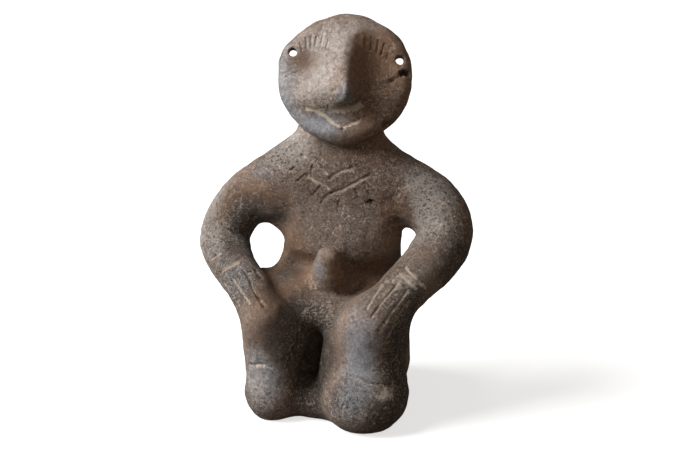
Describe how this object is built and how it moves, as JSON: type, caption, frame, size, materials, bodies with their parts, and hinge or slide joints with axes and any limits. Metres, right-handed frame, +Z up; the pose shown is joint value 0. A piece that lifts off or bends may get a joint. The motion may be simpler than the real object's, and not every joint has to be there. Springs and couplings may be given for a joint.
{
  "type": "vinca figurine",
  "caption": "Small seated figure of dark fired clay with a mask-like head, hands on its knees and incised lines, standing on its own flat underside.",
  "frame": {"origin": "middle of the outer box on the ground plane, under the seat", "axes": "+Z up, the figure faces -Y and its left hand is on the +X side"},
  "size_m": [0.1176, 0.0844, 0.1654],
  "materials": {
    "fired_clay": "burnished dark grey-brown clay with pale deposit in the incised lines"
  },
  "bodies": {
    "root": {"figurine": "fired_clay"}
  },
  "joints": []
}
